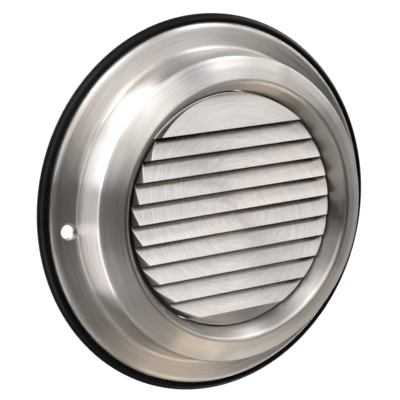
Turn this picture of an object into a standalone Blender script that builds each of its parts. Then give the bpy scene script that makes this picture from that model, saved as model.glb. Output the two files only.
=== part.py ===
"""Round louvred cowl vent for a boat: pressed stainless cover, louvred plate,
rubber edge seal, duct collar, insect screen, snap ring and four rivets.

Frame: metres, +Z up.  The vent axis is Y; the louvres face -Y and the wall
lies in the plane Y = 0, whose centre is the origin.  "Height" below means the
distance in front of the wall plane, so a height h is the coordinate Y = -h.
"""
import math

import bmesh
import bpy
from mathutils import Matrix, Vector

MM = 0.001

# ---- driving dimensions, in millimetres -----------------------------------
SEAL_R = 66.5            # outer radius of the rubber seal at the wall
SEAL_BASE_T = 1.2        # rubber under the cover's edge
SEAL_RIM_H = 3.4         # height of the seal's raised rim
FLANGE_R = 63.5          # outer radius of the pressed cover (5 inch flange)
SHEET = 1.0              # cover sheet thickness
FLANGE_H = 3.9           # height of the flange's front face near its edge
WALL_BASE_R = 54.4       # where the flange turns up into the dome's wall
SHOULDER_R, SHOULDER_H = 52.9, 17.6
TOP_R, TOP_H = 49.0, 20.0
LIP_R, LIP_H = 44.2, 22.1
THROAT_R, THROAT_H = 40.9, 15.9
THROAT_END_H = 3.4       # rear end of the cover's inner tube
SCREW_PCR = 57.4         # radius of the screw hole circle
SCREW_D = 4.5            # clearance hole for a 4.2 mm screw
SCREW_CSK_D = 6.2        # countersink across the front face
SCREW_TURN_DEG = 1.0     # the screw line is turned this much off level

PLATE_R = 40.45          # louvre plate, over its skirt
PLATE_T = 0.9
PLATE_H = 15.5           # height of the plate's front face
PLATE_SKIRT_H = 3.4
LOUVRE_N = 10
LOUVRE_PITCH = 7.0
LOUVRE_TOP_EDGE = 27.9   # z of the topmost louvre's free edge
LOUVRE_RISE = 3.0        # how far a free edge stands proud of the plate
LOUVRE_BLADE = 5.6       # height of a blade from its fold to its free edge
LOUVRE_END_R = 39.2      # the louvres' ends follow this circle
LOUVRE_CHEEK = 2.5       # length of the formed cheek at each end

COLLAR_R = 38.0          # duct collar, for a 3 inch (76 mm) hose
COLLAR_BELL_R = 39.25    # belled front end, inside the plate's skirt
COLLAR_T = 0.8
COLLAR_FRONT_H = 13.6
COLLAR_REAR_H = -26.0    # 26 mm behind the wall plane
COLLAR_LIP_R = 36.6      # inner radius of the collar's turned-in lip

SCREEN_R = 38.1
SCREEN_T = 0.6
SCREEN_FRONT_H = 12.5
SCREEN_BAR = 0.8
SCREEN_PITCH = 8.9

RING_WIRE = 1.5          # snap ring section
RING_GAP_DEG = 24.0      # opening of the snap ring

RIVET_N = 4
RIVET_D = 3.2
RIVET_HEAD_D = 5.6
RIVET_H = 6.2           # height of the rivets' axis above the wall

GAP = 0.3                # clearance between touching pieces
SEG = 64                 # facets round the turned pieces
COLLAR_SEG = 48


# ---- start from an empty scene --------------------------------------------
for obj in list(bpy.data.objects):
    bpy.data.objects.remove(obj, do_unlink=True)

COLL = bpy.context.scene.collection


# ---- helpers ---------------------------------------------------------------
def material(name, colour, roughness, metallic):
    mat = bpy.data.materials.new(name)
    mat.use_nodes = True
    bsdf = mat.node_tree.nodes["Principled BSDF"]
    bsdf.inputs["Base Color"].default_value = (*colour, 1.0)
    bsdf.inputs["Roughness"].default_value = roughness
    bsdf.inputs["Metallic"].default_value = metallic
    return mat


def add_object(name, bm, mat, sharp_deg=32.0):
    bmesh.ops.recalc_face_normals(bm, faces=bm.faces)
    if bm.calc_volume(signed=True) < 0:
        bmesh.ops.reverse_faces(bm, faces=bm.faces)
    mesh = bpy.data.meshes.new(name)
    bm.to_mesh(mesh)
    bm.free()
    mesh.materials.append(mat)
    mesh.shade_smooth()
    mesh.set_sharp_from_angle(angle=math.radians(sharp_deg))
    obj = bpy.data.objects.new(name, mesh)
    COLL.objects.link(obj)
    return obj


def cutter(name, bm):
    obj = add_object(name, bm, STEEL)
    obj.hide_render = True
    obj.display_type = "WIRE"
    return obj


def cut(obj, tool):
    mod = obj.modifiers.new("cut_" + tool.name, "BOOLEAN")
    mod.operation = "DIFFERENCE"
    mod.solver = "EXACT"
    mod.object = tool


def rounded(points, steps_per_turn=12.0):
    """Polyline through (r, h, radius) corners with each corner rounded by an
    arc of its radius; a radius of 0 leaves the corner sharp."""
    out = []
    last = len(points) - 1
    for i, (r, h, rad) in enumerate(points):
        p = Vector((r, h))
        if rad <= 0 or i in (0, last):
            out.append(p)
            continue
        a = (Vector(points[i - 1][:2]) - p).normalized()
        b = (Vector(points[i + 1][:2]) - p).normalized()
        half = a.angle(b) / 2.0
        tang = rad / math.tan(half)
        centre = p + (a + b).normalized() * (rad / math.sin(half))
        start, end = p + a * tang, p + b * tang
        v0, v1 = start - centre, end - centre
        turn = math.pi - 2.0 * half
        steps = max(2, int(round(turn / (2 * math.pi) * steps_per_turn)))
        sign = 1.0 if v0.x * v1.y - v0.y * v1.x > 0 else -1.0
        a0 = math.atan2(v0.y, v0.x)
        for k in range(steps + 1):
            t = a0 + sign * turn * k / steps
            out.append(centre + Vector((math.cos(t), math.sin(t))) * rad)
    return out


def offset_line(line, dist):
    """The polyline moved sideways by dist, to the right of its direction."""
    out = []
    for i, p in enumerate(line):
        prev = (p - line[i - 1]).normalized() if i else None
        nxt = (line[i + 1] - p).normalized() if i < len(line) - 1 else None
        d = prev if nxt is None else nxt if prev is None else (prev + nxt).normalized()
        n = Vector((d.y, -d.x))
        scale = 1.0
        if prev is not None and nxt is not None:
            scale = 1.0 / max(0.3, n.dot(Vector((prev.y, -prev.x))))
        out.append(p + n * dist * scale)
    return out


def turned(name, profile, mat, seg=SEG, sharp_deg=32.0):
    """A closed ring: the (r, h) profile, in mm, spun about the Y axis."""
    bm = bmesh.new()
    verts = [bm.verts.new((r * MM, -h * MM, 0.0)) for r, h in profile]
    edges = [bm.edges.new((verts[i], verts[(i + 1) % len(verts)]))
             for i in range(len(verts))]
    bmesh.ops.spin(bm, geom=verts + edges, cent=(0, 0, 0), axis=(0, 1, 0),
                   angle=2 * math.pi, steps=seg, use_merge=True)
    bmesh.ops.remove_doubles(bm, verts=bm.verts, dist=1e-7)
    return add_object(name, bm, mat, sharp_deg)


def bar(centre, size, matrix=None):
    """A box as a new bmesh: centre and size in mm."""
    bm = bmesh.new()
    bmesh.ops.create_cube(bm, size=1.0)
    bmesh.ops.scale(bm, vec=[s * MM for s in size], verts=bm.verts)
    bmesh.ops.translate(bm, vec=[c * MM for c in centre], verts=bm.verts)
    if matrix is not None:
        bmesh.ops.transform(bm, matrix=matrix, verts=bm.verts)
    return bm


def lathe_solid(profile, seg, matrix):
    """A solid of revolution about local Z as a new bmesh.  profile is a list
    of (radius, z) from the bottom to the top; both ends are capped."""
    bm = bmesh.new()
    rings = []
    for r, z in profile:
        rings.append([bm.verts.new((r * MM * math.cos(2 * math.pi * k / seg),
                                    r * MM * math.sin(2 * math.pi * k / seg),
                                    z * MM)) for k in range(seg)])
    for a, b in zip(rings, rings[1:]):
        for k in range(seg):
            bm.faces.new((a[k], a[(k + 1) % seg], b[(k + 1) % seg], b[k]))
    bm.faces.new(list(reversed(rings[0])))
    bm.faces.new(rings[-1])
    bmesh.ops.transform(bm, matrix=matrix, verts=bm.verts)
    return bm


# ---- materials -------------------------------------------------------------
STEEL = material("brushed_stainless", (0.62, 0.60, 0.58), 0.34, 1.0)
PLATE_STEEL = material("brushed_plate_stainless", (0.66, 0.64, 0.62), 0.38, 1.0)
COLLAR_STEEL = material("collar_stainless", (0.55, 0.54, 0.53), 0.42, 1.0)
WIRE_STEEL = material("screen_wire", (0.34, 0.34, 0.34), 0.5, 1.0)
SPRING_STEEL = material("spring_steel", (0.42, 0.42, 0.43), 0.35, 1.0)
RIVET_STEEL = material("rivet_steel", (0.58, 0.58, 0.58), 0.32, 1.0)
RUBBER = material("black_rubber", (0.012, 0.013, 0.014), 0.55, 0.0)


# ---- pressed cover: flange, dome wall, bull nose and throat -----------------
front = rounded([
    (FLANGE_R, SEAL_BASE_T + GAP, 0.0),
    (FLANGE_R, FLANGE_H, 2.3),
    (WALL_BASE_R, FLANGE_H + 0.6, 2.0),
    (SHOULDER_R, SHOULDER_H, 1.7),
    (TOP_R, TOP_H, 10.0),
    (LIP_R, LIP_H, 1.7),
    (THROAT_R, THROAT_H, 0.8),
    (THROAT_R, THROAT_END_H, 0.0),
])
back = offset_line(front, -SHEET)
cover = turned("cover_ring", front + back[::-1], STEEL)

csk = 0.5 * SCREW_CSK_D
hole = 0.5 * SCREW_D
turn = math.radians(SCREW_TURN_DEG)
for side, angle in (("left", math.pi + turn), ("right", turn)):
    place = (Matrix.Rotation(-angle, 4, "Y")
             @ Matrix.Translation((SCREW_PCR * MM, 0, 0))
             @ Matrix.Rotation(math.pi / 2, 4, "X"))
    face = FLANGE_H + 0.42
    tool = cutter("screw_hole_" + side, lathe_solid(
        [(hole, 0.2), (hole, face - 0.62), (csk, face + 0.22), (csk, face + 1.2)],
        28, place))
    cut(cover, tool)


# ---- louvred plate ----------------------------------------------------------
def louvre_rows(sub):
    """Rows of the plate from top to bottom as (z, louvre, part): part "web"
    is flat sheet, "blade" is on a blade, "cut" is the lanced edge."""
    rows = []
    for k in range(LOUVRE_N):
        edge = LOUVRE_TOP_EDGE - k * LOUVRE_PITCH
        fold = LOUVRE_END_R if k == 0 else edge + LOUVRE_BLADE
        steps = 2 * sub + 1 if k == 0 else sub
        top, low = math.asin(fold / PLATE_R), math.asin(edge / PLATE_R)
        for i in range(steps + 1):
            z = PLATE_R * math.sin(top + (low - top) * i / steps)
            rows.append((edge if i == steps else z, k,
                         "cut" if i == steps else "blade"))
    return rows


def smooth_min(a, b, k):
    h = max(k - abs(a - b), 0.0) / k
    return min(a, b) - h * h * k * 0.25


def blade_rise(x, z, k):
    """How far the blade of louvre k stands proud at (x, z), in mm."""
    edge = LOUVRE_TOP_EDGE - k * LOUVRE_PITCH
    fold = LOUVRE_END_R if k == 0 else edge + LOUVRE_BLADE
    down = (fold - z) / (fold - edge)
    end = (LOUVRE_END_R - math.hypot(x, z)) / LOUVRE_CHEEK
    if end <= 0.0 or down <= 0.0:
        return 0.0
    run = down ** 0.85
    lift = smooth_min(run, min(end, 1.6), 0.12)
    return LOUVRE_RISE * max(0.0, min(1.0, lift))


def louvre_plate(name, mat, columns, sub):
    """The pressed plate as one closed sheet.  It is a grid of rows and
    columns whose ends lie on a circle; at every lanced edge the blade and the
    web below it have their own points, joined only where the cut ends."""
    border = PLATE_R - 0.85
    fr = [math.sin(0.5 * math.pi * (2.0 * i / columns - 1.0) * 0.97)
          / math.sin(0.5 * math.pi * 0.97) for i in range(columns + 1)]
    rows = []
    cap = border * math.sin(math.radians(80.0))
    # the crown above the louvres, on the arc, then down to the first fold
    rows.append([("arc", 1.0, cap, None)])
    for z, k, kind in louvre_rows(sub):
        rows.append([(kind, z, z, k)])
    low = LOUVRE_TOP_EDGE - (LOUVRE_N - 1) * LOUVRE_PITCH
    rows.append([("web", 0.0, 0.5 * (low - cap), None)])
    rows.append([("arc", -1.0, -cap, None)])

    bm = bmesh.new()
    table = {}

    def point(x, h, z):
        key = (round(x, 5), round(h, 5), round(z, 5))
        if key not in table:
            table[key] = bm.verts.new((x * MM, -h * MM, z * MM))
        return table[key]

    def face(*vs):
        seen = []
        for v in vs:
            if v not in seen:
                seen.append(v)
        if len(seen) > 2:
            bm.faces.new(seen)

    def row_xz(kind, zref):
        half = math.sqrt(max(border ** 2 - zref ** 2, 0.0))
        pts = []
        for q in fr:
            x = q * half
            z = zref
            if kind == "arc":
                z = math.copysign(math.sqrt(border ** 2 - x * x), zref)
            pts.append((x, z))
        return pts

    lines = []       # each: list of (x, z, upper height, lower height)
    for (kind, _, zref, k), in rows:
        pts = row_xz(kind, zref)
        line = []
        for x, z in pts:
            up = blade_rise(x, z, k) if kind in ("blade", "cut") else 0.0
            dn = 0.0 if kind == "cut" else up
            line.append([x, z, up, dn])
        if kind == "cut":
            mid = len(line) // 2
            for order in (range(mid, -1, -1), range(mid, len(line))):
                for i in order:
                    if line[i][2] < PLATE_T:
                        line[i][2] = PLATE_T      # the cut ends at this point
                        break
                started = False
                for i in order:
                    if started and line[i][2] < 0.06:
                        line[i][2] = 0.0
                    if abs(line[i][2] - PLATE_T) < 1e-9:
                        started = True
        lines.append((kind, line))

    def verts_of(line, which, side):
        lift = 2 if which == "up" else 3
        base = PLATE_H - (PLATE_T if side == "back" else 0.0)
        return [point(p[0], base + p[lift], p[1]) for p in line]

    for (ka, la), (kb, lb) in zip(lines, lines[1:]):
        for side in ("front", "back"):
            a = verts_of(la, "dn", side)
            b = verts_of(lb, "up", side)
            for i in range(columns):
                if side == "front":
                    face(a[i], b[i], b[i + 1], a[i + 1])
                else:
                    face(a[i + 1], b[i + 1], b[i], a[i])
    for kind, line in lines:
        if kind != "cut":
            continue
        bf, bb = verts_of(line, "up", "front"), verts_of(line, "up", "back")
        wf, wb = verts_of(line, "dn", "front"), verts_of(line, "dn", "back")
        for i in range(columns):
            open_here = (line[i][2] >= PLATE_T - 1e-9
                         and line[i + 1][2] >= PLATE_T - 1e-9)
            if open_here:
                face(bf[i], bb[i], bb[i + 1], bf[i + 1])
                face(wb[i], wf[i], wf[i + 1], wb[i + 1])
            else:
                face(bf[i], wf[i], wf[i + 1], bf[i + 1])
                face(bb[i + 1], wb[i + 1], wb[i], bb[i])

    # border loop: down the right side, along the bottom, up the left, top
    def loop(side):
        base = PLATE_H - (PLATE_T if side == "back" else 0.0)
        ids = [(0, i) for i in range(columns + 1)]
        ids += [(j, columns) for j in range(1, len(lines))]
        ids += [(len(lines) - 1, i) for i in range(columns - 1, -1, -1)]
        ids += [(j, 0) for j in range(len(lines) - 2, 0, -1)]
        out = []
        for j, i in ids:
            x, z = lines[j][1][i][:2]
            out.append((x, z))
        return out, base

    xy, _ = loop("front")
    skirt = [(border, PLATE_H), (PLATE_R - 0.28, PLATE_H - 0.14),
             (PLATE_R, PLATE_H - 0.62), (PLATE_R, PLATE_SKIRT_H),
             (border, PLATE_SKIRT_H), (border, PLATE_H - PLATE_T)]
    rings = []
    for r, h in skirt:
        s = r / border
        rings.append([point(x * s, h, z * s) if r != border else point(x, h, z)
                      for x, z in xy])
    n = len(xy)
    for a, b in zip(rings, rings[1:]):
        for i in range(n):
            j = (i + 1) % n
            face(a[j], a[i], b[i], b[j])
    return add_object(name, bm, mat, 30.0)


plate = louvre_plate("louvre_plate", PLATE_STEEL, 18, 2)


# ---- rubber edge seal --------------------------------------------------------
seal_profile = [
    (SEAL_R, 0.0), (SEAL_R, 0.7), (SEAL_R - 0.35, 1.3),
    (SEAL_R - 1.15, SEAL_RIM_H - 0.5), (SEAL_R - 1.6, SEAL_RIM_H),
    (FLANGE_R + GAP + 0.55, SEAL_RIM_H - 0.1), (FLANGE_R + GAP, SEAL_RIM_H - 0.7),
    (FLANGE_R + GAP, SEAL_BASE_T), (FLANGE_R - 2.9, SEAL_BASE_T),
    (FLANGE_R - 2.9, 0.0),
]
turned("edge_seal", seal_profile, RUBBER)


# ---- duct collar --------------------------------------------------------------
collar_out = rounded([
    (COLLAR_LIP_R, COLLAR_FRONT_H, 0.0),
    (COLLAR_BELL_R, COLLAR_FRONT_H, 1.0),
    (COLLAR_BELL_R, 0.8, 1.2),
    (COLLAR_R, -1.2, 1.2),
    (COLLAR_R, COLLAR_REAR_H + 3.2, 0.0),
    (COLLAR_R + 0.7, COLLAR_REAR_H + 2.4, 0.0),
    (COLLAR_R + 0.7, COLLAR_REAR_H + 1.9, 0.0),
    (COLLAR_R, COLLAR_REAR_H + 1.1, 0.0),
    (COLLAR_R, COLLAR_REAR_H, 0.0),
], 8.0)
collar_in = offset_line(collar_out, COLLAR_T)
collar = turned("duct_collar", collar_out + collar_in[::-1], COLLAR_STEEL,
                COLLAR_SEG)


# ---- insect screen: a ring filled with crossing bars ----------------------------
def insect_screen():
    half = 0.5 * SCREEN_T
    mid_h = SCREEN_FRONT_H - half
    ring = turned("insect_screen",
                  [(SCREEN_R, mid_h + half), (SCREEN_R, mid_h - half),
                   (SCREEN_R - 2.2, mid_h - half), (SCREEN_R - 2.2, mid_h + half)],
                  WIRE_STEEL, 48)
    count = int((SCREEN_R - 2.2) // SCREEN_PITCH)
    tool_bm = bmesh.new()
    for axis in (0, 1):
        for i in range(-count, count + 1):
            at = i * SCREEN_PITCH
            length = 2.0 * math.sqrt((SCREEN_R - 1.1) ** 2 - at ** 2)
            t = SCREEN_T * (0.5 if axis else 0.62)
            size = ((SCREEN_BAR, t, length) if axis == 0
                    else (length, t, SCREEN_BAR))
            centre = (at, -mid_h, 0.0) if axis == 0 else (0.0, -mid_h, at)
            one = bar(centre, size)
            me = bpy.data.meshes.new("bar")
            one.to_mesh(me)
            one.free()
            tool_bm.from_mesh(me)
            bpy.data.meshes.remove(me)
    tool = cutter("screen_bars", tool_bm)
    mod = ring.modifiers.new("bars", "BOOLEAN")
    mod.operation = "UNION"
    mod.solver = "EXACT"
    mod.use_self = True
    mod.object = tool
    return ring


insect_screen()


# ---- snap ring that holds the screen against the collar's lip ---------------------
def snap_ring():
    """An open wire ring with its gap at the bottom."""
    mid_h = SCREEN_FRONT_H - SCREEN_T - GAP - 0.5 * RING_WIRE
    rad = COLLAR_BELL_R - COLLAR_T - GAP - 0.5 * RING_WIRE
    steps, sides = 40, 6
    bm = bmesh.new()
    rings = []
    for i in range(steps + 1):
        a = math.radians(-90.0 + 0.5 * RING_GAP_DEG
                         + (360.0 - RING_GAP_DEG) * i / steps)
        ring = []
        for j in range(sides):
            b = 2 * math.pi * j / sides
            r = rad + 0.5 * RING_WIRE * math.cos(b)
            h = mid_h + 0.5 * RING_WIRE * math.sin(b)
            ring.append(bm.verts.new((r * MM * math.cos(a), -h * MM,
                                      r * MM * math.sin(a))))
        rings.append(ring)
    for a, b in zip(rings, rings[1:]):
        for j in range(sides):
            bm.faces.new((a[j], a[(j + 1) % sides], b[(j + 1) % sides], b[j]))
    bm.faces.new(rings[0])
    bm.faces.new(list(reversed(rings[-1])))
    return add_object("screen_snap_ring", bm, SPRING_STEEL)


snap_ring()


# ---- rivets through the throat, the plate's skirt and the collar -------------------
inner_face = COLLAR_BELL_R - COLLAR_T
outer_face = THROAT_R + SHEET
rivet_profile = [
    (0.30 * RIVET_HEAD_D, -1.25), (0.45 * RIVET_HEAD_D, -0.95),
    (0.50 * RIVET_HEAD_D, -0.5), (0.50 * RIVET_HEAD_D, 0.0),
    (0.5 * RIVET_D, 0.0),
    (0.5 * RIVET_D, outer_face - inner_face + 2 * GAP),
    (0.72 * RIVET_D, outer_face - inner_face + 2 * GAP),
    (0.72 * RIVET_D, outer_face - inner_face + 2 * GAP + 0.5),
    (0.52 * RIVET_D, outer_face - inner_face + 2 * GAP + 1.2),
]
for i in range(RIVET_N):
    ang = math.radians(45.0 + 90.0 * i)
    place = (Matrix.Rotation(-ang, 4, "Y")
             @ Matrix.Translation(((inner_face - GAP) * MM, -RIVET_H * MM, 0))
             @ Matrix.Rotation(math.pi / 2, 4, "Y"))
    drill = cutter("rivet_drill_%d" % (i + 1), lathe_solid(
        [(0.5 * RIVET_D + GAP, -1.5), (0.5 * RIVET_D + GAP, 6.5)], 12, place))
    for target in (cover, plate, collar):
        cut(target, drill)
    add_object("rivet_%d" % (i + 1), lathe_solid(rivet_profile, 12, place),
               RIVET_STEEL)
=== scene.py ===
"""Looks of the round louvred vent: detailed meshes and procedural materials
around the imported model, with a plain white studio and the camera.

Everything is in metres in the part's own frame: +Z up, the vent's axis is Y,
the louvres face -Y and the wall is the plane Y = 0.  "h" is the distance in
front of the wall, so h = -y.  Lengths in the constants are in millimetres.
"""

import math

import bmesh
import bpy
import numpy as np
from mathutils import Matrix, Vector


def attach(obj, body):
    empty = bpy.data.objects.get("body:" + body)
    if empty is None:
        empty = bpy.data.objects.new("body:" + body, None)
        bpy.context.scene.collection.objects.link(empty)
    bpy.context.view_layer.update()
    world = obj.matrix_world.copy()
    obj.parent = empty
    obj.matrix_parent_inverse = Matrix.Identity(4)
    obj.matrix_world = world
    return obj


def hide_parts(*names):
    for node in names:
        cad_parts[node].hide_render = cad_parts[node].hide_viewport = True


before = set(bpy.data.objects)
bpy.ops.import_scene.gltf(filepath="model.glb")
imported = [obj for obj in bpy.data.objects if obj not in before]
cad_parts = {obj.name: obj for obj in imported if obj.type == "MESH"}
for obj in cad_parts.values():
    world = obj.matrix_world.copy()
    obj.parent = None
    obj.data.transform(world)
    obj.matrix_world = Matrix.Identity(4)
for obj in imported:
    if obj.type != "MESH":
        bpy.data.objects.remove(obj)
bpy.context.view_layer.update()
MM = 0.001

# ---- sizes, as in the part ---------------------------------------------------
SEAL_R = 66.5
SEAL_BASE_T = 1.2
SEAL_RIM_H = 2.9
FLANGE_R = 63.5
SHEET = 1.0
FLANGE_H = 3.9
WALL_BASE_R = 54.4
SHOULDER_R, SHOULDER_H = 52.9, 17.6
TOP_R, TOP_H = 49.0, 20.0
LIP_R, LIP_H = 44.2, 22.1
THROAT_R, THROAT_H = 40.9, 15.9
THROAT_END_H = 3.4
SCREW_PCR = 57.4
SCREW_D = 4.5
SCREW_CSK_D = 6.2
SCREW_TURN_DEG = 1.0
PLATE_R = 40.45
PLATE_T = 0.9
PLATE_H = 15.5
PLATE_SKIRT_H = 3.4
LOUVRE_N = 10
LOUVRE_PITCH = 7.0
LOUVRE_TOP_EDGE = 27.9
LOUVRE_RISE = 3.5
LOUVRE_BLADE = 7.0
LOUVRE_END_R = 39.9
LOUVRE_CHEEK = 1.8
PLATE_EDGE_R = 0.4
LOUVRE_DRAW = 0.5
COLLAR_R = 38.0
COLLAR_BELL_R = 39.25
COLLAR_T = 0.8
COLLAR_FRONT_H = 13.6
COLLAR_REAR_H = -26.0
COLLAR_LIP_R = 36.6
SCREEN_R = 38.1
SCREEN_T = 0.6
SCREEN_FRONT_H = 12.5
RING_WIRE = 1.5
RING_GAP_DEG = 24.0
RIVET_D = 3.2
RIVET_HEAD_D = 5.6
RIVET_H = 6.2
GAP = 0.3

COLL = bpy.context.scene.collection


# ---- mesh helpers --------------------------------------------------------------
def finish_mesh(name, mesh, mat, sharp_deg=35.0):
    mesh.materials.clear()
    mesh.materials.append(mat)
    mesh.shade_smooth()
    mesh.set_sharp_from_angle(angle=math.radians(sharp_deg))
    obj = bpy.data.objects.new(name, mesh)
    COLL.objects.link(obj)
    return obj


def outward(mesh):
    bm = bmesh.new()
    bm.from_mesh(mesh)
    bmesh.ops.recalc_face_normals(bm, faces=bm.faces)
    if bm.calc_volume(signed=True) < 0:
        bmesh.ops.reverse_faces(bm, faces=bm.faces)
    bm.to_mesh(mesh)
    bm.free()


def rounded(points, steps_per_turn=120.0):
    """Polyline through (r, h, radius) corners, each rounded by its arc."""
    out = []
    last = len(points) - 1
    for i, (r, h, rad) in enumerate(points):
        p = Vector((r, h))
        if rad <= 0 or i in (0, last):
            out.append(p)
            continue
        a = (Vector(points[i - 1][:2]) - p).normalized()
        b = (Vector(points[i + 1][:2]) - p).normalized()
        half = a.angle(b) / 2.0
        tang = rad / math.tan(half)
        centre = p + (a + b).normalized() * (rad / math.sin(half))
        v0, v1 = p + a * tang - centre, p + b * tang - centre
        turn = math.pi - 2.0 * half
        steps = max(3, int(round(turn / (2 * math.pi) * steps_per_turn)))
        sign = 1.0 if v0.x * v1.y - v0.y * v1.x > 0 else -1.0
        a0 = math.atan2(v0.y, v0.x)
        for k in range(steps + 1):
            t = a0 + sign * turn * k / steps
            out.append(centre + Vector((math.cos(t), math.sin(t))) * rad)
    return out


def offset_line(line, dist):
    out = []
    for i, p in enumerate(line):
        prev = (p - line[i - 1]).normalized() if i else None
        nxt = (line[i + 1] - p).normalized() if i < len(line) - 1 else None
        d = prev if nxt is None else nxt if prev is None else (prev + nxt).normalized()
        n = Vector((d.y, -d.x))
        scale = 1.0
        if prev is not None and nxt is not None:
            scale = 1.0 / max(0.3, n.dot(Vector((prev.y, -prev.x))))
        out.append(p + n * dist * scale)
    return out


def refine(line, step):
    """Adds points so that no stretch of the line is longer than step."""
    out = [line[0]]
    for a, b in zip(line, line[1:]):
        n = max(1, int(math.ceil((b - a).length / step)))
        out += [a + (b - a) * (k / n) for k in range(1, n + 1)]
    return out


def turned(name, profile, mat, seg=256, sharp_deg=35.0):
    """Closed (r, h) profile in mm turned about the Y axis."""
    n = len(profile)
    ang = np.linspace(0, 2 * math.pi, seg, endpoint=False)
    r = np.array([p[0] for p in profile]) * MM
    h = np.array([p[1] for p in profile]) * MM
    co = np.empty((seg, n, 3))
    co[:, :, 0] = np.cos(ang)[:, None] * r[None]
    co[:, :, 1] = -h[None]
    co[:, :, 2] = np.sin(ang)[:, None] * r[None]
    faces = []
    for j in range(seg):
        k = (j + 1) % seg
        for i in range(n):
            m = (i + 1) % n
            faces.append((j * n + i, j * n + m, k * n + m, k * n + i))
    mesh = bpy.data.meshes.new(name)
    mesh.from_pydata(co.reshape(-1, 3).tolist(), [], faces)
    outward(mesh)
    return finish_mesh(name, mesh, mat, sharp_deg)


def lathe(profile, seg, matrix):
    """Capped solid of revolution about local Z, (radius, z) bottom to top."""
    bm = bmesh.new()
    rings = []
    for r, z in profile:
        rings.append([bm.verts.new((r * MM * math.cos(2 * math.pi * k / seg),
                                    r * MM * math.sin(2 * math.pi * k / seg),
                                    z * MM)) for k in range(seg)])
    for a, b in zip(rings, rings[1:]):
        for k in range(seg):
            bm.faces.new((a[k], a[(k + 1) % seg], b[(k + 1) % seg], b[k]))
    bm.faces.new(list(reversed(rings[0])))
    bm.faces.new(rings[-1])
    bmesh.ops.transform(bm, matrix=matrix, verts=bm.verts)
    mesh = bpy.data.meshes.new("lathe")
    bm.to_mesh(mesh)
    bm.free()
    outward(mesh)
    return mesh


def tube(path, radius, sides, closed=False):
    """Vertices and faces of a round tube along a path of 3-D points."""
    p = np.asarray(path, float)
    if closed:
        t = np.roll(p, -1, 0) - np.roll(p, 1, 0)
    else:
        t = np.gradient(p, axis=0)
    t /= np.linalg.norm(t, axis=1)[:, None]
    up = np.array([0.0, 1.0, 0.0])
    s = np.cross(t, up)
    s /= np.linalg.norm(s, axis=1)[:, None]
    u = np.cross(s, t)
    a = np.linspace(0, 2 * math.pi, sides, endpoint=False)
    co = (p[:, None] + radius * (np.cos(a)[None, :, None] * s[:, None]
                                 + np.sin(a)[None, :, None] * u[:, None]))
    n = len(p)
    faces = []
    for i in range(n if closed else n - 1):
        k = (i + 1) % n
        for j in range(sides):
            m = (j + 1) % sides
            faces.append((i * sides + j, i * sides + m, k * sides + m, k * sides + j))
    if not closed:
        faces.append(tuple(range(sides - 1, -1, -1)))
        faces.append(tuple((n - 1) * sides + j for j in range(sides)))
    return co.reshape(-1, 3), faces


def cut_with(obj, tools):
    """Cuts the tool meshes out of obj and leaves the result in its mesh."""
    cutters = []
    for i, mesh in enumerate(tools):
        tool = bpy.data.objects.new("tool", mesh)
        COLL.objects.link(tool)
        cutters.append(tool)
        mod = obj.modifiers.new("cut%d" % i, "BOOLEAN")
        mod.operation = "DIFFERENCE"
        mod.solver = "EXACT"
        mod.object = tool
    bpy.context.view_layer.update()
    deps = bpy.context.evaluated_depsgraph_get()
    mesh = bpy.data.meshes.new_from_object(obj.evaluated_get(deps))
    obj.modifiers.clear()
    obj.data = mesh
    mesh.shade_smooth()
    mesh.set_sharp_from_angle(angle=math.radians(35.0))
    for tool in cutters:
        bpy.data.objects.remove(tool, do_unlink=True)
    return obj


# ---- material helpers -------------------------------------------------------------
def new_material(name):
    mat = bpy.data.materials.new(name)
    mat.use_nodes = True
    nt = mat.node_tree
    nt.nodes.clear()
    out = nt.nodes.new("ShaderNodeOutputMaterial")
    bsdf = nt.nodes.new("ShaderNodeBsdfPrincipled")
    nt.links.new(bsdf.outputs["BSDF"], out.inputs["Surface"])
    return mat, nt, bsdf


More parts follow.
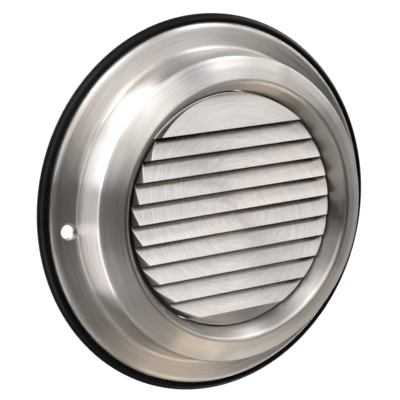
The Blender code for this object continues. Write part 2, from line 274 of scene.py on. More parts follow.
class Graph:
    """Small helper that adds nodes and returns their outputs."""

    def __init__(self, nt):
        self.nt = nt

    def link(self, a, b):
        self.nt.links.new(a, b)

    def put(self, socket, value):
        if isinstance(value, (int, float)):
            socket.default_value = value
        elif isinstance(value, (tuple, list)):
            socket.default_value = value
        else:
            self.link(value, socket)

    def math(self, op, a, b=None, c=None, clamp=False):
        n = self.nt.nodes.new("ShaderNodeMath")
        n.operation = op
        n.use_clamp = clamp
        for i, v in enumerate((a, b, c)):
            if v is not None:
                self.put(n.inputs[i], v)
        return n.outputs[0]

    def coords(self):
        n = self.nt.nodes.new("ShaderNodeTexCoord")
        s = self.nt.nodes.new("ShaderNodeSeparateXYZ")
        self.link(n.outputs["Object"], s.inputs[0])
        return n.outputs["Object"], s.outputs[0], s.outputs[1], s.outputs[2]

    def combine(self, x, y, z):
        n = self.nt.nodes.new("ShaderNodeCombineXYZ")
        for i, v in enumerate((x, y, z)):
            self.put(n.inputs[i], v)
        return n.outputs[0]

    def noise(self, vector, scale, detail=2.0, rough=0.5, w=None, distortion=0.0):
        n = self.nt.nodes.new("ShaderNodeTexNoise")
        n.noise_dimensions = "4D" if w is not None else "3D"
        self.link(vector, n.inputs["Vector"])
        n.inputs["Scale"].default_value = scale
        n.inputs["Detail"].default_value = detail
        n.inputs["Roughness"].default_value = rough
        n.inputs["Distortion"].default_value = distortion
        if w is not None:
            self.put(n.inputs["W"], w)
        return n.outputs["Fac"]

    def remap(self, value, a, b, c, d):
        n = self.nt.nodes.new("ShaderNodeMapRange")
        n.clamp = True
        self.link(value, n.inputs["Value"])
        for key, v in (("From Min", a), ("From Max", b), ("To Min", c), ("To Max", d)):
            n.inputs[key].default_value = v
        return n.outputs["Result"]

    def smooth(self, value, a, b, c=0.0, d=1.0):
        n = self.nt.nodes.new("ShaderNodeMapRange")
        n.interpolation_type = "SMOOTHSTEP"
        self.link(value, n.inputs["Value"])
        for key, v in (("From Min", a), ("From Max", b), ("To Min", c), ("To Max", d)):
            n.inputs[key].default_value = v
        return n.outputs["Result"]

    def mix(self, fac, a, b, blend="MIX"):
        n = self.nt.nodes.new("ShaderNodeMix")
        n.data_type = "RGBA"
        n.blend_type = blend
        self.put(n.inputs[0], fac)
        self.put(n.inputs[6], a)
        self.put(n.inputs[7], b)
        return n.outputs[2]

    def bump(self, height, strength, distance, normal=None):
        n = self.nt.nodes.new("ShaderNodeBump")
        n.inputs["Strength"].default_value = strength
        n.inputs["Distance"].default_value = distance
        self.link(height, n.inputs["Height"])
        if normal is not None:
            self.link(normal, n.inputs["Normal"])
        return n.outputs["Normal"]

    def tangent(self, axis):
        n = self.nt.nodes.new("ShaderNodeTangent")
        n.direction_type = "RADIAL"
        n.axis = axis
        return n.outputs[0]


def polar(g):
    """Object coordinates as distance from the Y axis, its direction, and h."""
    vec, x, y, z = g.coords()
    r = g.math("SQRT", g.math("ADD", g.math("MULTIPLY", x, x), g.math("MULTIPLY", z, z)))
    safe = g.math("MAXIMUM", r, 1e-5)
    ux = g.math("DIVIDE", x, safe)
    uz = g.math("DIVIDE", z, safe)
    return vec, x, y, z, r, ux, uz


def brushed_steel(name, colour, dark, rough, spread, anisotropy, along, across,
                  depth_share, bump, seam=False, edges=(), recess_shade=None):
    """Stainless steel brushed in circles round the Y axis.

    along: streaks per radian; across: streaks per metre of radius;
    depth_share: how far the streaks also change with depth (1 on turned
    walls, 0 where the streaks are circles seen from the front)."""
    mat, nt, bsdf = new_material(name)
    g = Graph(nt)
    vec, x, y, z, r, ux, uz = polar(g)

    def streaks(k_along, k_across, detail, rough_):
        v = g.combine(g.math("MULTIPLY", ux, k_along), g.math("MULTIPLY", uz, k_along),
                      g.math("MULTIPLY", r, k_across))
        w = g.math("MULTIPLY", y, k_across * depth_share)
        return g.noise(v, 1.0, detail, rough_, w=w)

    fine = streaks(along * 2.4, across * 2.2, 3.0, 0.65)
    mid = streaks(along, across * 0.62, 2.0, 0.6)
    broad = streaks(along * 0.45, across * 0.16, 2.0, 0.55)
    cloud = g.noise(vec, 34.0, 3.0, 0.55)
    smudge = g.noise(vec, 105.0, 4.0, 0.6, distortion=0.4)
    fleck = g.noise(vec, 900.0, 2.0, 0.5)

    # colour: light and dark grain lines, faint blotches, tiny dark flecks
    lines = g.math("ADD", g.math("MULTIPLY", fine, 0.5), g.math("MULTIPLY", mid, 0.5))
    tone = g.smooth(lines, 0.30, 0.70)
    col = g.mix(tone, (*dark, 1.0), (*colour, 1.0))
    warm = (colour[0] * 0.97, colour[1] * 0.93, colour[2] * 0.88, 1.0)
    col = g.mix(g.smooth(cloud, 0.45, 0.75, 0.0, 0.55), col, warm)
    speck = g.smooth(fleck, 0.70, 0.78, 0.0, 0.35)
    col = g.mix(speck, col, (dark[0] * 0.5, dark[1] * 0.5, dark[2] * 0.5, 1.0))
    if edges:
        # worn, brighter metal where the turned profile bends sharply
        worn = None
        for radius, width, amount in edges:
            d = g.math("ABSOLUTE", g.math("SUBTRACT", r, radius * MM))
            m = g.smooth(d, width * MM, 0.0, 0.0, amount)
            worn = m if worn is None else g.math("MAXIMUM", worn, m)
        worn = g.math("MULTIPLY", worn, g.smooth(broad, 0.3, 0.6))
        col = g.mix(worn, col, (min(1, colour[0] * 1.22), min(1, colour[1] * 1.22),
                                min(1, colour[2] * 1.22), 1.0))
    if seam:
        # welded seam along the tube, on its lower side
        side = g.math("ABSOLUTE", g.math("ADD", g.math("MULTIPLY", x, 1.0),
                                         g.math("MULTIPLY", g.noise(vec, 260.0), 0.0006)))
        low = g.math("LESS_THAN", z, 0.0)
        bead = g.math("MULTIPLY", g.smooth(side, 0.0016, 0.0004), low)
        heat = g.math("MULTIPLY", g.smooth(side, 0.006, 0.001), low)
        col = g.mix(g.math("MULTIPLY", heat, 0.5), col, (0.30, 0.23, 0.16, 1.0))
    if recess_shade:
        # painted shade: the base colour goes near black in the folds under the louvre lips, where the sheet
        # sits deep behind each blade
        z_low, z_high, deep, clear = recess_shade
        depth = g.math("MULTIPLY", y, -1.0)
        depth = g.math("ADD", depth, g.math("MULTIPLY", g.math("SUBTRACT", cloud, 0.5), 0.0005))
        painted_shade = g.smooth(depth, clear, deep)
        painted_shade = g.math("MULTIPLY", painted_shade, g.math("GREATER_THAN", depth, deep - 0.0007))
        painted_shade = g.math("MULTIPLY", painted_shade, g.math("LESS_THAN", z, z_high))
        painted_shade = g.math("MULTIPLY", painted_shade, g.math("GREATER_THAN", z, z_low))
        col = g.mix(g.math("MULTIPLY", painted_shade, 0.90), col, (0.035, 0.030, 0.027, 1.0))
    g.link(col, bsdf.inputs["Base Color"])
    bsdf.inputs["Metallic"].default_value = 1.0
    # the grain runs round the axis, so the highlights stretch along the radius
    bsdf.inputs["Anisotropic"].default_value = anisotropy
    bsdf.inputs["Anisotropic Rotation"].default_value = 0.25
    g.link(g.tangent("Y"), bsdf.inputs["Tangent"])

    base = g.math("ADD", g.math("MULTIPLY", g.math("SUBTRACT", mid, 0.5), spread),
                  g.math("MULTIPLY", g.math("SUBTRACT", smudge, 0.5), spread * 0.55))
    base = g.math("ADD", base, g.math("MULTIPLY", g.math("SUBTRACT", broad, 0.5),
                                      spread * 0.5))
    rg = g.math("ADD", base, rough)
    rg = g.math("ADD", rg, g.math("MULTIPLY", speck, 0.2))
    rg = g.math("MINIMUM", g.math("MAXIMUM", rg, 0.12), 0.9)
    g.link(rg, bsdf.inputs["Roughness"])

    height = g.math("ADD", g.math("MULTIPLY", fine, 0.6), g.math("MULTIPLY", mid, 0.7))
    normal = g.bump(height, bump, 0.00002)
    normal = g.bump(broad, bump * 0.5, 0.00012, normal)
    normal = g.bump(cloud, bump * 0.25, 0.0008, normal)
    if seam:
        normal = g.bump(bead, 0.8, 0.0004, normal)
    g.link(normal, bsdf.inputs["Normal"])
    return mat


def rubber(name):
    """Black moulded rubber: fine grain, faint mould lines, a little dust."""
    mat, nt, bsdf = new_material(name)
    g = Graph(nt)
    vec, x, y, z, r, ux, uz = polar(g)
    grain = g.noise(vec, 1500.0, 3.0, 0.6)
    patch = g.noise(vec, 60.0, 3.0, 0.55)
    lines = g.noise(g.combine(g.math("MULTIPLY", ux, 2.0), g.math("MULTIPLY", uz, 2.0),
                              g.math("MULTIPLY", r, 2600.0)), 1.0, 2.0, 0.5,
                    w=g.math("MULTIPLY", y, 2600.0))
    dust = g.noise(vec, 420.0, 4.0, 0.65)
    col = g.mix(g.smooth(patch, 0.35, 0.7), (0.0014, 0.0015, 0.0018, 1.0),
                (0.0030, 0.0032, 0.0037, 1.0))
    col = g.mix(g.smooth(dust, 0.66, 0.80, 0.0, 0.25), col, (0.015, 0.015, 0.016, 1.0))
    g.link(col, bsdf.inputs["Base Color"])
    rg = g.math("ADD", g.math("MULTIPLY", grain, 0.22), g.math("MULTIPLY", patch, 0.16))
    rg = g.math("ADD", rg, 0.22)
    g.link(rg, bsdf.inputs["Roughness"])
    bsdf.inputs["Specular IOR Level"].default_value = 0.10
    h = g.math("ADD", g.math("MULTIPLY", grain, 0.5), g.math("MULTIPLY", lines, 0.5))
    g.link(g.bump(h, 0.35, 0.00006), bsdf.inputs["Normal"])
    return mat


def wire_metal(name, colour, dark, rough):
    """Drawn wire and rivet metal: fine pits, stains and varied gloss."""
    mat, nt, bsdf = new_material(name)
    g = Graph(nt)
    vec, x, y, z = g.coords()
    stain = g.noise(vec, 130.0, 4.0, 0.6)
    pit = g.noise(vec, 1400.0, 3.0, 0.6)
    col = g.mix(g.smooth(stain, 0.35, 0.7), (*dark, 1.0), (*colour, 1.0))
    col = g.mix(g.smooth(pit, 0.66, 0.78, 0.0, 0.5), col,
                (dark[0] * 0.4, dark[1] * 0.4, dark[2] * 0.4, 1.0))
    g.link(col, bsdf.inputs["Base Color"])
    bsdf.inputs["Metallic"].default_value = 1.0
    rg = g.math("ADD", g.math("MULTIPLY", stain, 0.18), g.math("MULTIPLY", pit, 0.16))
    rg = g.math("ADD", rg, rough - 0.17)
    g.link(rg, bsdf.inputs["Roughness"])
    g.link(g.bump(pit, 0.3, 0.00004), bsdf.inputs["Normal"])
    return mat


COVER_STEEL = brushed_steel(
    "brushed_stainless", (0.72, 0.683, 0.655), (0.52, 0.495, 0.47), 0.31, 0.14, 0.98,
    along=3.2, across=2600.0, depth_share=1.0, bump=0.30,
    edges=((FLANGE_R - 0.6, 0.7, 0.7), (SHOULDER_R - 0.6, 0.8, 0.5), (LIP_R, 1.0, 0.35)))
PLATE_STEEL = brushed_steel(
    "brushed_plate", (0.77, 0.73, 0.70), (0.63, 0.60, 0.575), 0.25, 0.10, 0.93,
    along=2.6, across=2300.0, depth_share=0.0, bump=0.30,
    # painted shade, near black, in the deep folds under the louvre lips between these heights and depths
    recess_shade=((LOUVRE_TOP_EDGE - (LOUVRE_N - 1) * LOUVRE_PITCH) * MM, LOUVRE_TOP_EDGE * MM,
            (PLATE_H + 0.3) * MM, (PLATE_H + 1.5) * MM))
COLLAR_STEEL = brushed_steel(
    "collar_steel", (0.56, 0.55, 0.54), (0.42, 0.41, 0.40), 0.38, 0.18, 0.45,
    along=2.2, across=1500.0, depth_share=1.0, bump=0.3, seam=True)
RUBBER = rubber("black_rubber")
WIRE_STEEL = wire_metal("screen_wire", (0.34, 0.335, 0.33), (0.20, 0.195, 0.19), 0.48)
SPRING_STEEL = wire_metal("spring_steel", (0.44, 0.44, 0.45), (0.26, 0.26, 0.27), 0.36)
RIVET_STEEL = wire_metal("rivet_steel", (0.60, 0.60, 0.59), (0.44, 0.43, 0.42), 0.32)


# ---- rivet places, and their holes ---------------------------------------------------
INNER_FACE = COLLAR_BELL_R - COLLAR_T
OUTER_FACE = THROAT_R + SHEET


def rivet_place(i):
    ang = math.radians(45.0 + 90.0 * i)
    return (Matrix.Rotation(-ang, 4, "Y")
            @ Matrix.Translation(((INNER_FACE - GAP) * MM, -RIVET_H * MM, 0))
            @ Matrix.Rotation(math.pi / 2, 4, "Y"))


def drills():
    rad = 0.5 * RIVET_D + 0.05
    return [lathe([(rad, -1.5), (rad, 6.5)], 40, rivet_place(i)) for i in range(4)]


# ---- pressed cover -----------------------------------------------------------------------
front = rounded([
    (FLANGE_R, SEAL_BASE_T + GAP, 0.0),
    (FLANGE_R, FLANGE_H, 2.3),
    (WALL_BASE_R, FLANGE_H + 0.6, 2.0),
    (SHOULDER_R, SHOULDER_H, 1.7),
    (TOP_R, TOP_H, 10.0),
    (LIP_R, LIP_H, 1.7),
    (THROAT_R, THROAT_H, 0.8),
    (THROAT_R, THROAT_END_H, 0.0),
])
front = refine(front, 1.2)
back = offset_line(front, -SHEET)
cover = turned("cover_shell", front + back[::-1], COVER_STEEL, 300)

hole_tools = []
for angle in (math.pi + math.radians(SCREW_TURN_DEG), math.radians(SCREW_TURN_DEG)):
    place = (Matrix.Rotation(-angle, 4, "Y")
             @ Matrix.Translation((SCREW_PCR * MM, 0, 0))
             @ Matrix.Rotation(math.pi / 2, 4, "X"))
    face = FLANGE_H + 0.42
    hole, csk = 0.5 * SCREW_D, 0.5 * SCREW_CSK_D
    flare = [(hole, 0.2), (hole, face - 0.75)]
    for k in range(1, 9):
        t = 0.5 * math.pi * k / 8
        flare.append((hole + (csk - hole) * (1 - math.cos(t)) * 1.0,
                      face - 0.75 + 0.80 * math.sin(t)))
    flare += [(csk + 0.12, face + 0.16), (csk + 0.4, face + 1.2)]
    hole_tools.append(lathe(flare, 72, place))
cut_with(cover, hole_tools + drills())
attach(cover, "root")
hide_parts("cover_ring")


# ---- louvred plate --------------------------------------------------------------------------
def louvre_rows(sub):
    rows = []
    for k in range(LOUVRE_N):
        edge = LOUVRE_TOP_EDGE - k * LOUVRE_PITCH
        fold = LOUVRE_END_R if k == 0 else edge + LOUVRE_BLADE
        steps = 2 * sub + 1 if k == 0 else sub
        top, low = math.asin(fold / PLATE_R), math.asin(edge / PLATE_R)
        for i in range(steps + 1):
            z = PLATE_R * math.sin(top + (low - top) * i / steps)
            rows.append((edge if i == steps else z, k, "cut" if i == steps else "blade"))
    return rows


def smooth_min(a, b, k):
    h = max(k - abs(a - b), 0.0) / k
    return min(a, b) - h * h * k * 0.25


def blade_rise(x, z, k):
    """How far the blade of louvre k stands proud at (x, z), in mm."""
    edge = LOUVRE_TOP_EDGE - k * LOUVRE_PITCH
    fold = LOUVRE_END_R if k == 0 else edge + LOUVRE_BLADE
    down = (fold - z) / (fold - edge)
    half = math.sqrt(max(LOUVRE_END_R ** 2 - z * z, 0.0))
    end = (half - abs(x)) / (LOUVRE_CHEEK if k else 0.8)
    if end <= 0.0 or down <= 0.0:
        return 0.0
    lift = smooth_min(down ** 0.72, min(end, 1.6) ** 0.6, 0.08)
    return LOUVRE_RISE * max(0.0, min(1.0, lift))


def louvre_plate(name, mat, columns, sub):
    """The pressed plate as one closed sheet: a grid of rows and columns whose
    ends lie on a circle; at each lanced edge the blade and the web below it
    have their own points, joined only where the cut ends."""
    border = PLATE_R - PLATE_EDGE_R
    fr = [math.sin(0.5 * math.pi * (2.0 * i / columns - 1.0) * 0.97)
          / math.sin(0.5 * math.pi * 0.97) for i in range(columns + 1)]
    cap = border * math.sin(math.radians(80.0))
    rows = [("arc", cap, None)]
    rows += [(kind, z, k) for z, k, kind in louvre_rows(sub)]
    low = LOUVRE_TOP_EDGE - (LOUVRE_N - 1) * LOUVRE_PITCH
    for t in (0.25, 0.5, 0.75):
        rows.append(("web", low + t * (-cap - low), None))
    rows.append(("arc", -cap, None))

    bm = bmesh.new()
    table = {}

    def point(x, h, z):
        key = (round(x, 5), round(h, 5), round(z, 5))
        if key not in table:
            table[key] = bm.verts.new((x * MM, -h * MM, z * MM))
        return table[key]

    def face(*vs):
        seen = []
        for v in vs:
            if v not in seen:
                seen.append(v)
        if len(seen) > 2:
            bm.faces.new(seen)

    lines = []
    for kind, zref, k in rows:
        half = math.sqrt(max(border ** 2 - zref ** 2, 0.0))
        line = []
        for q in fr:
            x, z = q * half, zref
            if kind == "arc":
                z = math.copysign(math.sqrt(border ** 2 - x * x), zref)
            up = blade_rise(x, z, k) if kind in ("blade", "cut") else 0.0
            line.append([x, z, up, 0.0 if kind == "cut" else up, z])
        if kind == "cut":
            mid = len(line) // 2
            for order in (range(mid, -1, -1), range(mid, len(line))):
                for i in order:
                    if line[i][2] < PLATE_T:
                        line[i][2] = PLATE_T
                        break
                started = False
                for i in order:
                    if started and line[i][2] < 0.06:
                        line[i][2] = 0.0
                    if abs(line[i][2] - PLATE_T) < 1e-9:
                        started = True
        for p in line:
            # the sheet keeps its length, so a blade pushed out is drawn up
            p[4] += LOUVRE_DRAW * max(0.0, (p[2] - PLATE_T) / (LOUVRE_RISE - PLATE_T))
            if kind != "cut":
                p[1] = p[4]
        lines.append((kind, line))

    def verts_of(line, which, side):
        lift = 2 if which == "up" else 3
        base = PLATE_H - (PLATE_T if side == "back" else 0.0)
        return [point(p[0], base + p[lift], p[4 if which == "up" else 1]) for p in line]

    for (_, la), (_, lb) in zip(lines, lines[1:]):
        for side in ("front", "back"):
            a = verts_of(la, "dn", side)
            b = verts_of(lb, "up", side)
            for i in range(columns):
                if side == "front":
                    face(a[i], b[i], b[i + 1], a[i + 1])
                else:
                    face(a[i + 1], b[i + 1], b[i], a[i])
    for kind, line in lines:
        if kind != "cut":
            continue
        bf, bb = verts_of(line, "up", "front"), verts_of(line, "up", "back")
        wf, wb = verts_of(line, "dn", "front"), verts_of(line, "dn", "back")
        for i in range(columns):
            if line[i][2] >= PLATE_T - 1e-9 and line[i + 1][2] >= PLATE_T - 1e-9:
                face(bf[i], bb[i], bb[i + 1], bf[i + 1])
                face(wb[i], wf[i], wf[i + 1], wb[i + 1])
            else:
                face(bf[i], wf[i], wf[i + 1], bf[i + 1])
                face(bb[i + 1], wb[i + 1], wb[i], bb[i])

    ids = [(0, i) for i in range(columns + 1)]
    ids += [(j, columns) for j in range(1, len(lines))]
    ids += [(len(lines) - 1, i) for i in range(columns - 1, -1, -1)]
    ids += [(j, 0) for j in range(len(lines) - 2, 0, -1)]
    xy = [tuple(lines[j][1][i][:2]) for j, i in ids]
    skirt = [(border, PLATE_H)]
    for k in range(1, 9):
        t = 0.5 * math.pi * k / 8
        skirt.append((border + PLATE_EDGE_R * math.sin(t),
                      PLATE_H - PLATE_EDGE_R * (1 - math.cos(t))))
    skirt += [(PLATE_R, PLATE_SKIRT_H), (border, PLATE_SKIRT_H),
              (border, PLATE_H - PLATE_T)]
    rings = []
    for r, h in skirt:
        s = r / border
        rings.append([point(x * s, h, z * s) if r != border else point(x, h, z)
                      for x, z in xy])
    n = len(xy)
    for a, b in zip(rings, rings[1:]):
        for i in range(n):
            j = (i + 1) % n
            face(a[j], a[i], b[i], b[j])
    bmesh.ops.recalc_face_normals(bm, faces=bm.faces)
    if bm.calc_volume(signed=True) < 0:
        bmesh.ops.reverse_faces(bm, faces=bm.faces)
    mesh = bpy.data.meshes.new(name)
    bm.to_mesh(mesh)
    bm.free()
    return finish_mesh(name, mesh, mat, 40.0)


plate = louvre_plate("louvre_disc", PLATE_STEEL, 150, 9)
cut_with(plate, drills())
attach(plate, "root")
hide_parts("louvre_plate")


# ---- rubber edge seal ----------------------------------------------------------------------
seal_line = rounded([
    (FLANGE_R - 2.9, 0.0, 0.0),
    (SEAL_R, 0.0, 0.0),
    (SEAL_R, 0.75, 0.35),
    (SEAL_R - 0.55, 1.35, 0.5),
    (SEAL_R - 1.15, SEAL_RIM_H - 0.45, 0.8),
    (SEAL_R - 1.75, SEAL_RIM_H, 0.35),
    (FLANGE_R + GAP + 0.45, SEAL_RIM_H - 0.12, 0.3),
    (FLANGE_R + 0.06, SEAL_RIM_H - 0.9, 0.3),
    (FLANGE_R + 0.06, SEAL_BASE_T + 0.02, 0.0),
    (FLANGE_R - 2.9, SEAL_BASE_T + 0.02, 0.0),
], 60.0)
seal = turned("edge_seal_moulded", seal_line, RUBBER, 300)
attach(seal, "root")
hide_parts("edge_seal")


# ---- duct collar ------------------------------------------------------------------------------
collar_out = rounded([
    (COLLAR_LIP_R, COLLAR_FRONT_H, 0.0),
    (COLLAR_BELL_R, COLLAR_FRONT_H, 1.0),
    (COLLAR_BELL_R, 0.8, 1.2),
    (COLLAR_R, -1.2, 1.2),
    (COLLAR_R, COLLAR_REAR_H + 3.4, 0.5),
    (COLLAR_R + 0.7, COLLAR_REAR_H + 2.5, 0.5),
    (COLLAR_R + 0.7, COLLAR_REAR_H + 1.8, 0.5),
    (COLLAR_R, COLLAR_REAR_H + 0.9, 0.3),
    (COLLAR_R, COLLAR_REAR_H, 0.0),
], 72.0)
collar_in = offset_line(collar_out, COLLAR_T)
collar = turned("collar_tube", refine(collar_out, 2.0) + refine(collar_in, 2.0)[::-1],
                COLLAR_STEEL, 220)
cut_with(collar, drills())
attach(collar, "root")
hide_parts("duct_collar")


# ---- insect screen: woven wires in a folded rim ---------------------------------------------------
def woven_screen(name, mat, pitch, wire_r):
    mid = -(SCREEN_FRONT_H - 0.5 * SCREEN_T)
    reach = SCREEN_R - 1.1
    n = int(reach // pitch)
    verts, faces = [], []
    base = 0
    for axis in (0, 1):
        for i in range(-n, n + 1):
            at = i * pitch
            half = math.sqrt(reach * reach - at * at)
            m = max(4, int(2 * half / (pitch / 4)))
            s = np.linspace(-half, half, m + 1)
            phase = (i % 2) * math.pi + (math.pi if axis else 0.0)
            d = wire_r * 1.02 * np.cos(s / pitch * math.pi + phase)
            p = np.empty((m + 1, 3))
            p[:, 0] = s if axis else at
            p[:, 2] = at if axis else s
            p[:, 1] = mid + d
            co, fc = tube(p * MM, wire_r * MM, 6)
            verts.append(co)
            faces += [tuple(base + v for v in f) for f in fc]
            base += len(co)
    mesh = bpy.data.meshes.new(name)
    mesh.from_pydata(np.concatenate(verts).tolist(), [], faces)
    return finish_mesh(name, mesh, mat, 60.0)


cloth = woven_screen("screen_cloth", WIRE_STEEL, 2.0, 0.145)
mid_h = SCREEN_FRONT_H - 0.5 * SCREEN_T
rim_line = rounded([
    (SCREEN_R - 2.2, mid_h, 0.0), (SCREEN_R - 2.2, mid_h + 0.3, 0.18),
    (SCREEN_R, mid_h + 0.3, 0.18), (SCREEN_R, mid_h - 0.3, 0.18),
    (SCREEN_R - 2.2, mid_h - 0.3, 0.18), (SCREEN_R - 2.2, mid_h - 0.01, 0.0)], 48.0)
rim = turned("screen_rim", rim_line, WIRE_STEEL, 200)
for piece in (cloth, rim):
    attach(piece, "root")
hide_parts("insect_screen")
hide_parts("insect_screen")


# ---- snap ring -----------------------------------------------------------------------------------
ring_h = SCREEN_FRONT_H - SCREEN_T - GAP - 0.5 * RING_WIRE
ring_r = COLLAR_BELL_R - COLLAR_T - GAP - 0.5 * RING_WIRE
ring_path = []
for i in range(241):
    a = math.radians(-90.0 + 0.5 * RING_GAP_DEG + 0.6 + (360.0 - RING_GAP_DEG - 1.2) * i / 240)
    ring_path.append((ring_r * MM * math.cos(a), -ring_h * MM, ring_r * MM * math.sin(a)))
co, fc = tube(ring_path, 0.5 * RING_WIRE * MM * 0.985, 16)
ring_mesh = bpy.data.meshes.new("snap_wire")
ring_mesh.from_pydata(co.tolist(), [], fc)
snap = finish_mesh("snap_wire", ring_mesh, SPRING_STEEL)
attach(snap, "root")
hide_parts("screen_snap_ring")


# ---- rivets ------------------------------------------------------------------------------------------
stack = OUTER_FACE - INNER_FACE + 2 * GAP
for i in range(4):
    prof = []
    for k in range(10):
        t = 0.5 * math.pi * k / 9
        prof.append((max(0.5 * RIVET_HEAD_D * math.sin(t), 0.05), -1.25 * math.cos(t)))
    prof += [(0.5 * RIVET_HEAD_D, 0.0), (0.5 * RIVET_D, 0.02), (0.5 * RIVET_D, stack - 0.02),
             (0.72 * RIVET_D, stack), (0.72 * RIVET_D, stack + 0.35)]
    for k in range(1, 8):
        t = 0.5 * math.pi * k / 8
        prof.append((0.72 * RIVET_D * math.cos(t) + 0.05, stack + 0.35 + 0.8 * math.sin(t)))
    mesh = lathe(prof, 48, rivet_place(i))
    rivet = finish_mesh("rivet_%d_formed" % (i + 1), mesh, RIVET_STEEL)
    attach(rivet, "root")
    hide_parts("rivet_%d" % (i + 1))


# ---- camera ----------------------------------------------------------------------------------------------
cam = bpy.data.cameras.new("camera")
cam.sensor_width = 36.0
cam.lens = 144.13
cam.clip_start = 0.01
cam_obj = bpy.data.objects.new("camera", cam)
COLL.objects.link(cam_obj)
cam_obj.matrix_world = Matrix((
    (0.851244, 0.137295, -0.506491, -0.287118),
    (-0.522273, 0.127611, -0.843176, -0.472639),
    (-0.051130, 0.982276, 0.180334, 0.102776),
    (0.0, 0.0, 0.0, 1.0)))
bpy.context.scene.camera = cam_obj


# ---- studio ------------------------------------------------------------------------------------------------
scene = bpy.context.scene
scene.view_settings.view_transform = "Standard"
scene.view_settings.look = "None"
scene.view_settings.exposure = 0.0
scene.view_settings.gamma = 1.0

world = bpy.data.worlds.new("studio")
scene.world = world
world.use_nodes = True
wn = world.node_tree
wn.nodes.clear()
w_out = wn.nodes.new("ShaderNodeOutputWorld")
w_mix = wn.nodes.new("ShaderNodeMixShader")
w_path = wn.nodes.new("ShaderNodeLightPath")
w_dim = wn.nodes.new("ShaderNodeBackground")
w_lit = wn.nodes.new("ShaderNodeBackground")
w_dim.inputs["Color"].default_value = (1.0, 0.97, 0.94, 1.0)
w_dim.inputs["Strength"].default_value = 0.05
w_lit.inputs["Color"].default_value = (1.0, 1.0, 1.0, 1.0)
w_lit.inputs["Strength"].default_value = 1.05
wn.links.new(w_path.outputs["Is Camera Ray"], w_mix.inputs["Fac"])
wn.links.new(w_dim.outputs[0], w_mix.inputs[1])
wn.links.new(w_lit.outputs[0], w_mix.inputs[2])
wn.links.new(w_mix.outputs[0], w_out.inputs["Surface"])

floor_mesh = bpy.data.meshes.new("floor")
S = 6.0
floor_mesh.from_pydata([(-S, -S, -0.6), (S, -S, -0.6), (S, S, -0.6), (-S, S, -0.6)],
                       [], [(0, 1, 2, 3)])
floor = bpy.data.objects.new("floor", floor_mesh)
COLL.objects.link(floor)
fmat = bpy.data.materials.new("pale_floor")
fmat.use_nodes = True
fn = fmat.node_tree
fn.nodes.clear()
f_out = fn.nodes.new("ShaderNodeOutputMaterial")
f_mix = fn.nodes.new("ShaderNodeMixShader")
f_path = fn.nodes.new("ShaderNodeLightPath")
f_clear = fn.nodes.new("ShaderNodeBsdfTransparent")
f_lit = fn.nodes.new("ShaderNodeEmission")
f_lit.inputs["Color"].default_value = (1.0, 1.0, 1.0, 1.0)
f_lit.inputs["Strength"].default_value = 1.05
fn.links.new(f_path.outputs["Is Camera Ray"], f_mix.inputs["Fac"])
fn.links.new(f_clear.outputs[0], f_mix.inputs[1])
fn.links.new(f_lit.outputs[0], f_mix.inputs[2])
fn.links.new(f_mix.outputs[0], f_out.inputs["Surface"])
floor_mesh.materials.append(fmat)


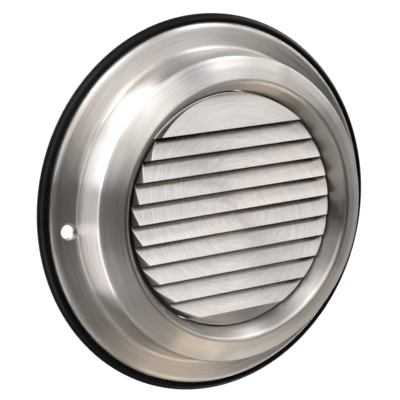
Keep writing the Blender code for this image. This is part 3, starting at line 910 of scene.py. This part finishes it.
# Soft light panels round the vent: azimuth from and to, elevation from and to
# (degrees; azimuth 0 is in front of the louvres, positive to the right of
# someone facing them), radiance and tint.
PANELS = (
    (-120, -92, -46, 12, 3.00, (1.00, 0.98, 0.99)),
    (-120, -92, 12, 66, 5.20, (0.93, 0.96, 1.00)),
    (136, 240, -46, -8, 1.30, (0.95, 0.96, 1.00)),
    (-172, -15, 48, 66, 1.60, (0.96, 0.98, 1.00)),
    (-172, -120, 48, 66, 3.40, (0.94, 0.97, 1.00)),
    (58, 80, 30, 66, 2.80, (1.00, 0.99, 0.99)),
    (-120, -64, -66, -8, 0.60, (1.00, 0.97, 0.95)),
    (36, 80, 48, 66, 2.40, (0.97, 0.97, 1.00)),
    (-148, -120, 12, 48, 3.20, (0.90, 0.94, 1.00)),
    (12, 100, 12, 30, 0.55, (1.00, 1.00, 0.99)),
    (36, 100, 12, 30, 0.35, (1.00, 0.95, 0.97)),
    (-40, 12, 48, 66, 1.70, (0.99, 0.99, 1.00)),
    (-64, -40, 12, 48, 1.10, (0.95, 0.97, 1.00)),
    (80, 104, -66, -26, 1.60, (1.00, 0.93, 0.87)),
    (-40, 12, 12, 30, 1.00, (1.00, 0.96, 0.90)),
    (-64, 12, -66, -20, 0.36, (1.00, 0.97, 0.93)),
    (-45, 0, -20, 12, 0.14, (1.00, 0.98, 0.96)),
    (52, 80, -10, 12, 0.25, (1.00, 0.98, 0.96)),
    (80, 132, -26, 10, 0.75, (1.00, 0.98, 0.96)),
    (-15, 36, 12, 30, 0.75, (0.97, 0.97, 1.00)),
    (12, 36, 30, 48, 1.10, (0.93, 0.93, 1.00)),
    (36, 58, 30, 48, 0.60, (1.00, 1.00, 1.00)),
    (12, 38, -66, -24, 1.35, (1.00, 0.88, 0.74)),
    (38, 80, -66, -40, 0.70, (1.00, 0.93, 0.86)),
    (181, 212, 14, 50, 2.90, (0.92, 0.96, 1.00)),
    (92, 152, 8, 36, 1.60, (1.00, 0.98, 0.96)),
    (-40, 12, 30, 48, 1.10, (1.00, 0.98, 0.97)),
    (8, 36, -2, 12, 1.00, (1.00, 0.98, 0.96)),
    (-180, 180, 66, 90, 1.00, (0.96, 0.96, 1.00)),
    (-180, 180, -90, -66, 0.35, (1.00, 0.93, 0.84)),
)
PANEL_DIST = 1.2


def softbox(name, azimuth, elevation, width, height, radiance, colour):
    """Flat rectangular light that faces the vent from a direction."""
    a, e = math.radians(azimuth), math.radians(elevation)
    d = Vector((math.sin(a) * math.cos(e), -math.cos(a) * math.cos(e), math.sin(e)))
    light = bpy.data.lights.new(name, "AREA")
    light.shape = "RECTANGLE"
    light.size = width
    light.size_y = height
    light.energy = math.pi * width * height * radiance
    light.color = colour
    obj = bpy.data.objects.new(name, light)
    COLL.objects.link(obj)
    quat = (-d).to_track_quat("-Z", "Y")
    obj.matrix_world = Matrix.Translation(d * PANEL_DIST) @ quat.to_matrix().to_4x4()
    obj.visible_camera = False
    return obj


for n_panel, (az0, az1, el0, el1, radiance, colour) in enumerate(PANELS):
    if az1 - az0 >= 360:
        side = 2.0 * PANEL_DIST * math.tan(math.radians(24.0))
        softbox("panel_%02d" % n_panel, 0.0, 90.0 if el0 > 0 else -90.0, side, side,
                radiance, colour)
        continue
    parts_az = math.ceil((az1 - az0) / 58.0)
    parts_el = math.ceil((el1 - el0) / 42.0)
    for i in range(parts_az):
        for j in range(parts_el):
            step_a, step_e = (az1 - az0) / parts_az, (el1 - el0) / parts_el
            mid_a, mid_e = az0 + step_a * (i + 0.5), el0 + step_e * (j + 0.5)
            wide = math.radians(step_a) * math.cos(math.radians(mid_e))
            softbox("panel_%02d_%d%d" % (n_panel, i, j), mid_a, mid_e,
                    2.0 * PANEL_DIST * math.tan(0.5 * wide),
                    2.0 * PANEL_DIST * math.tan(0.5 * math.radians(step_e)),
                    radiance, colour)
